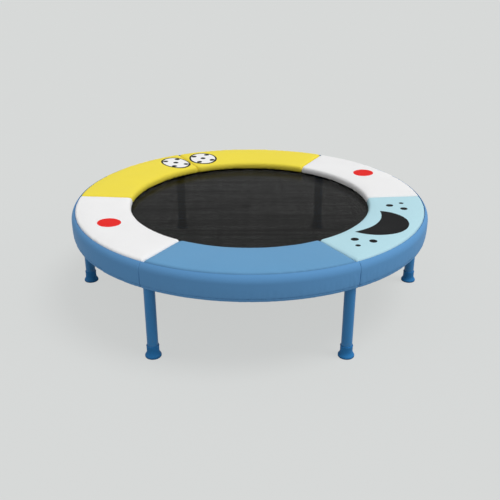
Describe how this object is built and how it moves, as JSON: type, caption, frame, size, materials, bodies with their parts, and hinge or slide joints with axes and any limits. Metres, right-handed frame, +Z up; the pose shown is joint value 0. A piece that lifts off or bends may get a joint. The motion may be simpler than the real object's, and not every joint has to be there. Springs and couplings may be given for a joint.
{
  "type": "mini trampoline",
  "caption": "Round mini trampoline with a mesh mat on coil springs, a padded rim with a side skirt, and screw-in tube legs with rubber feet.",
  "frame": {"origin": "on the floor under the centre of the mat", "axes": "+Z up through the mat's centre, -Y towards the front pad section, +X to its right"},
  "size_m": [0.9156, 0.914, 0.245],
  "materials": {
    "painted_steel": "satin blue powder coat",
    "leg_paint": "satin blue powder coat",
    "zinc_steel": "bright zinc plating",
    "insert_steel": "turned steel",
    "foot_rubber": "matt moulded rubber",
    "mat_weave": "open black weave",
    "black_webbing": "woven webbing",
    "pad_mid_blue": "soft coated fabric",
    "pad_light_blue": "soft coated fabric",
    "pad_white": "soft coated fabric",
    "pad_yellow": "soft coated fabric",
    "foam": "open-cell foam",
    "skirt_blue": "soft coated fabric"
  },
  "bodies": {
    "frame": {"frame_ring": "painted_steel", "leg_socket_1": "painted_steel", "leg_socket_2": "painted_steel", "leg_socket_3": "painted_steel", "leg_socket_4": "painted_steel", "leg_socket_5": "painted_steel", "leg_socket_6": "painted_steel", "leg_studs": "zinc_steel", "coil_springs": "zinc_steel", "pad_cover_1": "pad_mid_blue", "pad_cover_2": "pad_light_blue", "pad_cover_3": "pad_white", "pad_cover_4": "pad_yellow", "pad_cover_5": "pad_yellow", "pad_cover_6": "pad_white", "pad_foam_1": "foam", "pad_foam_2": "foam", "pad_foam_3": "foam", "pad_foam_4": "foam", "pad_foam_5": "foam", "pad_foam_6": "foam", "side_skirt_1": "skirt_blue", "side_skirt_2": "skirt_blue", "side_skirt_3": "skirt_blue", "side_skirt_4": "skirt_blue", "side_skirt_5": "skirt_blue", "side_skirt_6": "skirt_blue", "skirt_elastic": "black_webbing", "tie_straps": "black_webbing"},
    "mat": {"mat_sheet": "mat_weave", "mat_edge_band": "black_webbing", "mat_tabs": "black_webbing", "mat_rings": "zinc_steel"},
    "leg_1_insert": {"leg_insert_1": "insert_steel"},
    "leg_1": {"leg_tube_1": "leg_paint", "foot_cap_1": "foot_rubber"},
    "leg_2_insert": {"leg_insert_2": "insert_steel"},
    "leg_2": {"leg_tube_2": "leg_paint", "foot_cap_2": "foot_rubber"},
    "leg_3_insert": {"leg_insert_3": "insert_steel"},
    "leg_3": {"leg_tube_3": "leg_paint", "foot_cap_3": "foot_rubber"},
    "leg_4_insert": {"leg_insert_4": "insert_steel"},
    "leg_4": {"leg_tube_4": "leg_paint", "foot_cap_4": "foot_rubber"},
    "leg_5_insert": {"leg_insert_5": "insert_steel"},
    "leg_5": {"leg_tube_5": "leg_paint", "foot_cap_5": "foot_rubber"},
    "leg_6_insert": {"leg_insert_6": "insert_steel"},
    "leg_6": {"leg_tube_6": "leg_paint", "foot_cap_6": "foot_rubber"}
  },
  "joints": [
    {"name": "mat_bounce", "type": "slide", "parent": "frame", "child": "mat", "axis": [0, 0, -1], "range_m": [0, 0.07], "stiffness_N_per_m": 3500, "springref_m": -0.002, "deforming": ["coil_springs"]},
    {"name": "leg_1_travel", "type": "slide", "parent": "frame", "child": "leg_1_insert", "axis": [0, 0, -1], "range_m": [0, 0.0241]},
    {"name": "leg_1_turn", "type": "hinge", "parent": "leg_1_insert", "child": "leg_1", "pos_m": [0.2195, -0.38018, 0.18], "axis": [0, 0, -1], "range_deg": [0, 5760]},
    {"name": "leg_2_travel", "type": "slide", "parent": "frame", "child": "leg_2_insert", "axis": [0, 0, -1], "range_m": [0, 0.0241]},
    {"name": "leg_2_turn", "type": "hinge", "parent": "leg_2_insert", "child": "leg_2", "pos_m": [0.439, 0, 0.18], "axis": [0, 0, -1], "range_deg": [0, 5760]},
    {"name": "leg_3_travel", "type": "slide", "parent": "frame", "child": "leg_3_insert", "axis": [0, 0, -1], "range_m": [0, 0.0241]},
    {"name": "leg_3_turn", "type": "hinge", "parent": "leg_3_insert", "child": "leg_3", "pos_m": [0.2195, 0.38018, 0.18], "axis": [0, 0, -1], "range_deg": [0, 5760]},
    {"name": "leg_4_travel", "type": "slide", "parent": "frame", "child": "leg_4_insert", "axis": [0, 0, -1], "range_m": [0, 0.0241]},
    {"name": "leg_4_turn", "type": "hinge", "parent": "leg_4_insert", "child": "leg_4", "pos_m": [-0.2195, 0.38018, 0.18], "axis": [0, 0, -1], "range_deg": [0, 5760]},
    {"name": "leg_5_travel", "type": "slide", "parent": "frame", "child": "leg_5_insert", "axis": [0, 0, -1], "range_m": [0, 0.0241]},
    {"name": "leg_5_turn", "type": "hinge", "parent": "leg_5_insert", "child": "leg_5", "pos_m": [-0.439, 0, 0.18], "axis": [0, 0, -1], "range_deg": [0, 5760]},
    {"name": "leg_6_travel", "type": "slide", "parent": "frame", "child": "leg_6_insert", "axis": [0, 0, -1], "range_m": [0, 0.0241]},
    {"name": "leg_6_turn", "type": "hinge", "parent": "leg_6_insert", "child": "leg_6", "pos_m": [-0.2195, -0.38018, 0.18], "axis": [0, 0, -1], "range_deg": [0, 5760]}
  ],
  "couplings": [
    {"joint": "leg_1_travel", "follows": "leg_1_turn", "m_per_rad": 0.00023873},
    {"joint": "leg_2_travel", "follows": "leg_2_turn", "m_per_rad": 0.00023873},
    {"joint": "leg_3_travel", "follows": "leg_3_turn", "m_per_rad": 0.00023873},
    {"joint": "leg_4_travel", "follows": "leg_4_turn", "m_per_rad": 0.00023873},
    {"joint": "leg_5_travel", "follows": "leg_5_turn", "m_per_rad": 0.00023873},
    {"joint": "leg_6_travel", "follows": "leg_6_turn", "m_per_rad": 0.00023873}
  ]
}
